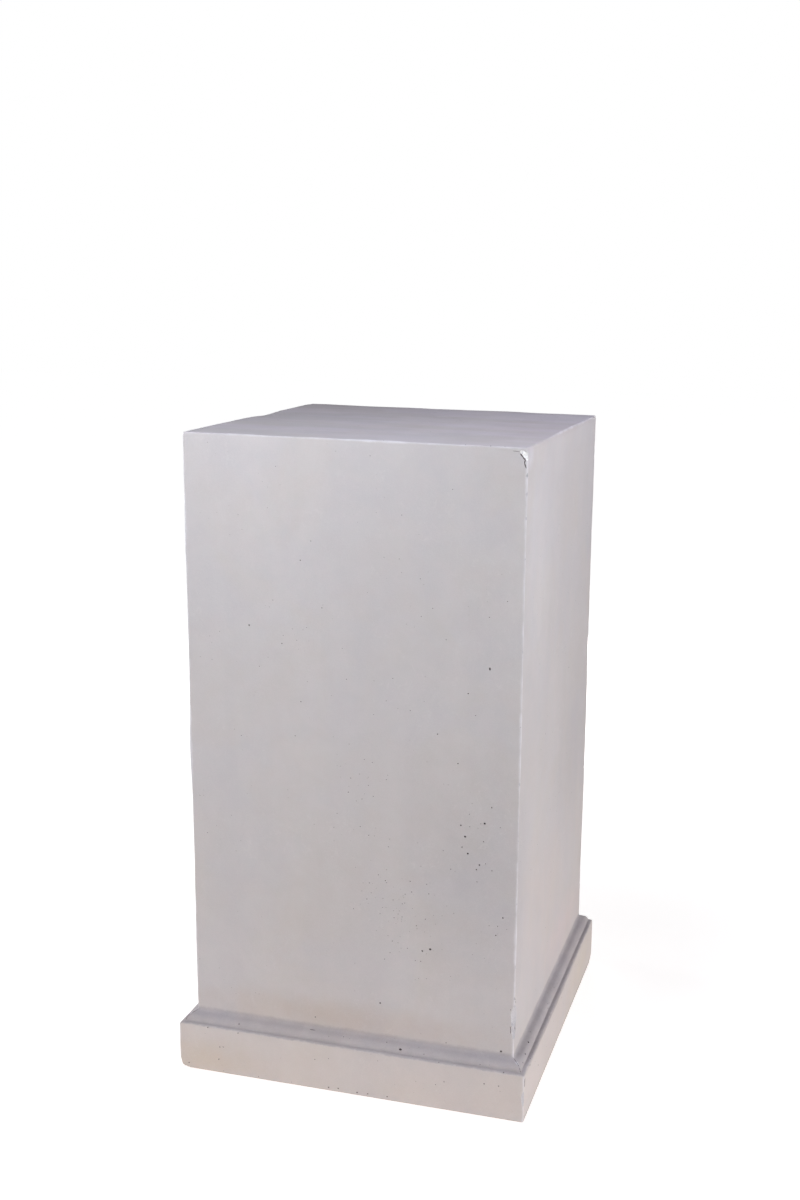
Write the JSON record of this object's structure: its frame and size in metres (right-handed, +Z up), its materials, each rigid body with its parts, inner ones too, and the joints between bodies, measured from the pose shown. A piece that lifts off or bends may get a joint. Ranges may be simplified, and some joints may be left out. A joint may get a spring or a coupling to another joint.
{
  "type": "decorative column",
  "caption": "Square pedestal column with a plain shaft on a low plinth, joined by a rolled edge and a flat bead, cast in pale grey plaster with chipped edges.",
  "frame": {"origin": "the middle of the underside, on the floor it stands on", "axes": "+Z up the shaft, the front face looks along -Y, and +X is to the right as seen from the front"},
  "size_m": [0.5, 0.5, 0.9],
  "materials": {
    "cast_plaster": "matte"
  },
  "bodies": {
    "root": {"column": "cast_plaster"}
  },
  "joints": []
}
